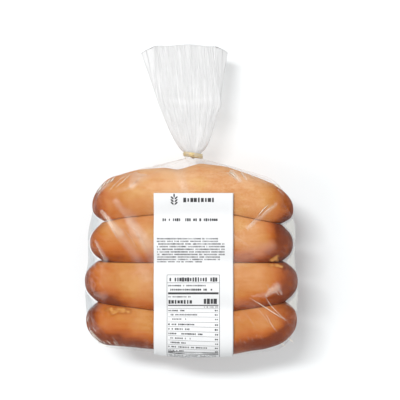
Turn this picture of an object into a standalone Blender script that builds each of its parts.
"""A tied clear bag of hot dog buns with a blank-faced label, lying on its back.

Metres, +Z up. X runs along the buns, +Y points to the tied neck, and Z = 0 is the flat underside.
The origin is under the middle of the bun block.
"""

import math

import bmesh
import bpy
import numpy as np
from mathutils import Vector

MM = 0.001

# Buns: four rows in two layers, each a rounded block whose sides press on its neighbours.
BUN_HALF_LENGTHS = (77.0, 77.5, 80.5, 79.5)
BUN_HALF_WIDTH = 18.5
BUN_HALF_HEIGHT = 24.0
BUN_ROUNDING = 17.0
ROW_PITCH = 37.0
ROW_BENDS = (10.5, 1.5, -1.0, -7.0)
BEND_REACH = 80.0
ROW_CENTRES = tuple(ROW_PITCH * (1.5 - row) for row in range(4))
LAYER_HEIGHTS = (22.6, 70.4)

# Film: it rests on the buns' crowns and spans the grooves between them.
FILM_STANDOFF = 0.2
GROOVE_BLEND = 7.0
END_BLEND = 2.5
END_BLEND_FROM = 55.0
END_BLEND_TO = 80.0
FLOOR_BLEND = 5.0
FLOOR_BLEND_HEIGHT = 12.0
CORE_HALF = 45.0
CORE_HEIGHT = 46.5
RAY_LENGTH = 130.0
RAY_STEPS = 24

# Rings of the bag, from the bottom end to the mouth.
RING_POINTS = 64
RING_ASPECT = 0.62
END_RINGS = 14
BODY_RINGS = 25
FRONT_RINGS = 7
SHOULDER_RINGS = 5
TANGENT_SAMPLES = 90

# Neck, gathered by the tie.
NECK_START = 83.0
NECK_END = 88.0
NECK_HALF_WIDTH = 7.0
NECK_HALF_DEPTH = 5.4
NECK_RINGS = 4
NECK_X = 0.9

# Flare of loose film above the tie: it widens, leans to -X and droops.
FLARE_END = 176.5
FLARE_HALF_WIDTH = 36.4
FLARE_HALF_DEPTH = 3.6
FLARE_SPREAD = 0.62
FLARE_LEAN = -7.2
FLARE_DROOP = 14.0
FLARE_RINGS = 13
FLARE_CORNER_DROP = 5.5
PLEAT_COUNT = 9
PLEAT_DEPTH = 1.3

# Label: a strip stuck over the crowns, turning down over the bottom end.
LABEL_LEFT = -29.2
LABEL_RIGHT = 32.3
LABEL_TOP = 54.3
LABEL_COLUMNS = 10
LABEL_GAP = 0.75
LABEL_THICKNESS = 0.35
LABEL_END_ANGLE = math.radians(74.0)

# Tie: one flat ribbon round the neck, its two ends twisted together below.
TIE_Y = 85.5
TIE_WIDTH = 3.8
TIE_THICKNESS = 0.6
TIE_CLEARANCE = 0.4
TIE_STEM_OFFSET = 0.75
TIE_STEM_LENGTH = 20.0
TIE_TURNS = 1.25
TIE_LOOP_STEPS = 44
TIE_STEM_STEPS = 18
TIE_OPENING = math.radians(16.0)


def bun_distance(points, row, layer):
    """Distance from points to one bun, a rounded block bent towards the middle of the pack."""
    x, y, z = points[..., 0], points[..., 1], points[..., 2]
    bend = ROW_BENDS[row] * np.minimum((x / BEND_REACH) ** 2, 1.3)
    offset = np.stack([x, y - ROW_CENTRES[row] + bend, z - LAYER_HEIGHTS[layer]], axis=-1)
    half = np.array([BUN_HALF_LENGTHS[row], BUN_HALF_WIDTH, BUN_HALF_HEIGHT]) - BUN_ROUNDING
    outside = np.abs(offset) - half
    beyond = np.linalg.norm(np.maximum(outside, 0.0), axis=-1)
    return beyond + np.minimum(outside.max(axis=-1), 0.0) - BUN_ROUNDING


def film_distance(points):
    """Distance to the film: the buns' distances melted together, so grooves are bridged.

    The film spans more of each groove at the buns' ends, and lies flat where the pack rests.
    """
    at_end = np.interp(np.abs(points[..., 0]), [END_BLEND_FROM, END_BLEND_TO], [0.0, 1.0])
    at_floor = np.interp(points[..., 2], [0.0, FLOOR_BLEND_HEIGHT], [1.0, 0.0])
    blend = GROOVE_BLEND + END_BLEND * at_end + FLOOR_BLEND * at_floor
    total = 0.0
    for row in range(4):
        for layer in range(2):
            total = total + np.exp(-bun_distance(points, row, layer) / blend)
    return -blend * np.log(total) - FILM_STANDOFF


def on_film(origins, directions):
    """The point where each ray from inside the pack leaves the film."""
    near = np.zeros(directions.shape[:-1])
    far = np.full(directions.shape[:-1], RAY_LENGTH)
    for _ in range(RAY_STEPS):
        middle = (near + far) / 2
        inside = film_distance(origins + directions * middle[..., None]) < 0
        near = np.where(inside, middle, near)
        far = np.where(inside, far, middle)
    hits = origins + directions * near[..., None]
    hits[..., 2] = np.maximum(hits[..., 2], 0.0)
    return hits


def ring_angles():
    """Angles round a ring, with the points closer together where the pack is narrow."""
    turn = np.arange(RING_POINTS) * 2 * math.pi / RING_POINTS
    return np.arctan2(RING_ASPECT * np.sin(turn), np.cos(turn))


def fan_directions(angles, tilt):
    """Ray directions for ring angles, tilted along Y by tilt."""
    across = np.cos(tilt)
    return np.stack(
        [across * np.cos(angles), np.sin(tilt) + 0 * angles, across * np.sin(angles)], axis=-1
    )


def core_ring(y, tilt):
    """One ring of the film round the bun block."""
    angles = ring_angles()
    directions = fan_directions(angles, tilt * np.ones_like(angles))
    return on_film(np.array([0.0, y, CORE_HEIGHT]) + 0 * directions, directions)


def tube_ring(centre, half_width, half_depth, pleat):
    """A flattened ring of gathered film; pleats ripple its upper and lower face."""
    turn = np.arange(RING_POINTS) * 2 * math.pi / RING_POINTS
    ripple = pleat * np.cos(PLEAT_COUNT * turn * 2) * np.abs(np.sin(turn))
    return np.stack(
        [
            centre[0] + half_width * np.cos(turn),
            centre[1] + 0 * turn,
            centre[2] + half_depth * np.sin(turn) + ripple,
        ],
        axis=-1,
    )


def front_rings(neck):
    """Rings round the front row, up to the line where the taut film leaves it for the neck."""
    angles = ring_angles()
    tilts = np.linspace(0.0, math.pi / 2.2, TANGENT_SAMPLES)[:, None] + 0 * angles
    directions = fan_directions(angles[None, :] + 0 * tilts, tilts)
    profile = on_film(np.array([0.0, CORE_HALF, CORE_HEIGHT]) + 0 * directions, directions)
    away = profile - neck
    spread = np.linalg.norm(away[..., [0, 2]], axis=-1)
    leave = np.argmax(np.arctan2(spread, -away[..., 1]), axis=0)
    tangent = tilts[leave, np.arange(RING_POINTS)]
    tangent = (np.roll(tangent, 1) + 2 * tangent + np.roll(tangent, -1)) / 4
    rings = []
    for step in range(1, FRONT_RINGS + 1):
        directions = fan_directions(angles, tangent * step / FRONT_RINGS)
        origins = np.array([0.0, CORE_HALF, CORE_HEIGHT]) + 0 * directions
        rings.append(on_film(origins, directions))
    return rings


def flare_rings():
    """Rings of the loose film above the tie, out to the open mouth."""
    rings = []
    for step in range(1, FLARE_RINGS + 1):
        along = step / FLARE_RINGS
        half_width = NECK_HALF_WIDTH + (FLARE_HALF_WIDTH - NECK_HALF_WIDTH) * along**FLARE_SPREAD
        half_depth = NECK_HALF_DEPTH + (FLARE_HALF_DEPTH - NECK_HALF_DEPTH) * along
        centre = (
            NECK_X + FLARE_LEAN * along,
            NECK_END + (FLARE_END - NECK_END) * along,
            CORE_HEIGHT - FLARE_DROOP * along**1.5,
        )
        ring = tube_ring(centre, half_width, half_depth, PLEAT_DEPTH * min(1.0, 2 * along))
        side = (ring[:, 0] - centre[0]) / half_width
        ring[:, 1] -= FLARE_CORNER_DROP * along**3 * side**4
        rings.append(ring)
    return rings


def bag_rings():
    """All rings of the bag, from the bottom end to the mouth."""
    rings = []
    for step in range(1, END_RINGS):
        rings.append(core_ring(-CORE_HALF, -math.pi / 2 * (1 - step / END_RINGS)))
    for y in np.linspace(-CORE_HALF, CORE_HALF, BODY_RINGS):
        rings.append(core_ring(y, 0.0))
    neck_centre = (NECK_X, NECK_START, CORE_HEIGHT)
    neck = tube_ring(neck_centre, NECK_HALF_WIDTH, NECK_HALF_DEPTH, 0.0)
    rings += front_rings(neck)
    shoulder = rings[-1]
    for step in range(1, SHOULDER_RINGS):
        along = step / SHOULDER_RINGS
        rings.append(shoulder * (1 - along) + neck * along)
    for y in np.linspace(NECK_START, NECK_END, NECK_RINGS):
        rings.append(tube_ring((NECK_X, y, CORE_HEIGHT), NECK_HALF_WIDTH, NECK_HALF_DEPTH, 0.0))
    return rings + flare_rings()


def add_loft(mesh, rings):
    """Vertices and side faces of a closed loft; returns its rings of vertices."""
    rows = [[mesh.verts.new(point * MM) for point in ring] for ring in rings]
    count = len(rows[0])
    for lower, upper in zip(rows, rows[1:]):
        for index in range(count):
            after = (index + 1) % count
            mesh.faces.new((lower[index], lower[after], upper[after], upper[index]))
    return rows


def make_bag():
    """The bag: bun block, shoulders, neck and flare as one closed solid."""
    mesh = bmesh.new()
    rows = add_loft(mesh, bag_rings())
    end = on_film(np.array([[0.0, -CORE_HALF, CORE_HEIGHT]]), np.array([[0.0, -1.0, 0.0]]))[0]
    pole = mesh.verts.new(end * MM)
    first, last = rows[0], rows[-1]
    for index in range(RING_POINTS):
        mesh.faces.new((pole, first[(index + 1) % RING_POINTS], first[index]))
    half = RING_POINTS // 2
    for index in range(1, half - 1):
        mesh.faces.new((last[index], last[index + 1], last[-index - 1], last[-index]))
    mesh.faces.new((last[0], last[1], last[-1]))
    mesh.faces.new((last[half - 1], last[half], last[half + 1]))
    return finish_object("bag", mesh, (0.83, 0.58, 0.36), 0.35)


def label_rows(bag):
    """Rows of points on the bag from the label's top edge to its turned-down bottom edge."""
    stations = np.linspace(CORE_HALF, -CORE_HALF, BODY_RINGS)
    casts = [(LABEL_TOP, 0.0), ((LABEL_TOP + CORE_HALF) / 2, 0.0)]
    casts += [(y, 0.0) for y in stations]
    tilt_step = math.pi / 4 / END_RINGS
    for step in range(1, int(LABEL_END_ANGLE / tilt_step) + 1):
        casts.append((-CORE_HALF, step * tilt_step))
    rows = []
    for y, tilt in casts:
        row = []
        direction = (0.0, -math.sin(tilt), math.cos(tilt))
        for x in np.linspace(LABEL_LEFT, LABEL_RIGHT, LABEL_COLUMNS + 1):
            origin = (x * MM, y * MM, CORE_HEIGHT * MM)
            _, place, _, _ = bag.ray_cast(origin, direction)
            row.append(place + Vector(direction) * LABEL_GAP * MM)
        rows.append(row)
    return rows


def make_label(bag):
    """The label: an open sheet laid over the bag, thickened outwards."""
    mesh = bmesh.new()
    rows = [[mesh.verts.new(place) for place in row] for row in label_rows(bag)]
    for upper, lower in zip(rows, rows[1:]):
        for index in range(LABEL_COLUMNS):
            mesh.faces.new((lower[index], lower[index + 1], upper[index + 1], upper[index]))
    label = finish_object("label", mesh, (0.9, 0.9, 0.89), 0.5)
    wall = label.modifiers.new("paper", "SOLIDIFY")
    wall.thickness = LABEL_THICKNESS * MM
    wall.offset = 1.0
    return label


def tie_path():
    """Centre, width direction and thickness direction along the tie's ribbon."""
    loop_x = NECK_HALF_WIDTH + TIE_CLEARANCE + TIE_THICKNESS / 2
    loop_z = NECK_HALF_DEPTH + TIE_CLEARANCE + TIE_THICKNESS / 2
    stem_top = CORE_HEIGHT - loop_z - 3.0
    width = np.array([0.0, 1.0, 0.0])
    stem = []
    for step in range(TIE_STEM_STEPS + 1):
        along = step / TIE_STEM_STEPS
        turn = 2 * math.pi * TIE_TURNS * along
        facing = np.array([math.cos(turn), math.sin(turn), 0.0])
        across = np.array([-math.sin(turn), math.cos(turn), 0.0])
        axis = np.array([NECK_X, TIE_Y, stem_top - TIE_STEM_LENGTH * along])
        stem.append((axis, across, facing))
    path = [(axis - facing * TIE_STEM_OFFSET, across, -facing) for axis, across, facing in reversed(stem)]
    start = -math.pi / 2 - TIE_OPENING
    sweep = -2 * math.pi + 2 * TIE_OPENING
    for step in range(TIE_LOOP_STEPS + 1):
        angle = start + sweep * step / TIE_LOOP_STEPS
        centre = np.array(
            [NECK_X + loop_x * math.cos(angle), TIE_Y, CORE_HEIGHT + loop_z * math.sin(angle)]
        )
        normal = np.array([math.cos(angle) / loop_x, 0.0, math.sin(angle) / loop_z])
        path.append((centre, width, normal / np.linalg.norm(normal)))
    path += [(axis + facing * TIE_STEM_OFFSET, across, facing) for axis, across, facing in stem]
    return path


def make_tie():
    """The tie: a flat ribbon swept round the neck and down its twisted stem."""
    mesh = bmesh.new()
    rings = []
    for centre, across, facing in tie_path():
        side = across * TIE_WIDTH / 2
        out = facing * TIE_THICKNESS / 2
        rings.append([centre - side - out, centre - side + out, centre + side + out, centre + side - out])
    rows = add_loft(mesh, rings)
    mesh.faces.new(rows[0][::-1])
    mesh.faces.new(rows[-1])
    return finish_object("twist_tie", mesh, (0.72, 0.58, 0.33), 0.35)


def finish_object(name, mesh, colour, roughness):
    """An object in the pack's collection, from a finished bmesh, with its own material."""
    bmesh.ops.recalc_face_normals(mesh, faces=mesh.faces)
    data = bpy.data.meshes.new(name)
    mesh.to_mesh(data)
    mesh.free()
    data.shade_smooth()
    obj = bpy.data.objects.new(name, data)
    bpy.data.collections["bun_pack"].objects.link(obj)
    material = bpy.data.materials.new(name)
    material.use_nodes = True
    shader = material.node_tree.nodes["Principled BSDF"]
    shader.inputs["Base Color"].default_value = (*colour, 1.0)
    shader.inputs["Roughness"].default_value = roughness
    shader.inputs["Metallic"].default_value = 0.0
    data.materials.append(material)
    return obj


def main():
    for obj in list(bpy.data.objects):
        bpy.data.objects.remove(obj, do_unlink=True)
    collection = bpy.data.collections.new("bun_pack")
    bpy.context.scene.collection.children.link(collection)
    bag = make_bag()
    bpy.context.view_layer.update()
    make_label(bag)
    make_tie()


main()
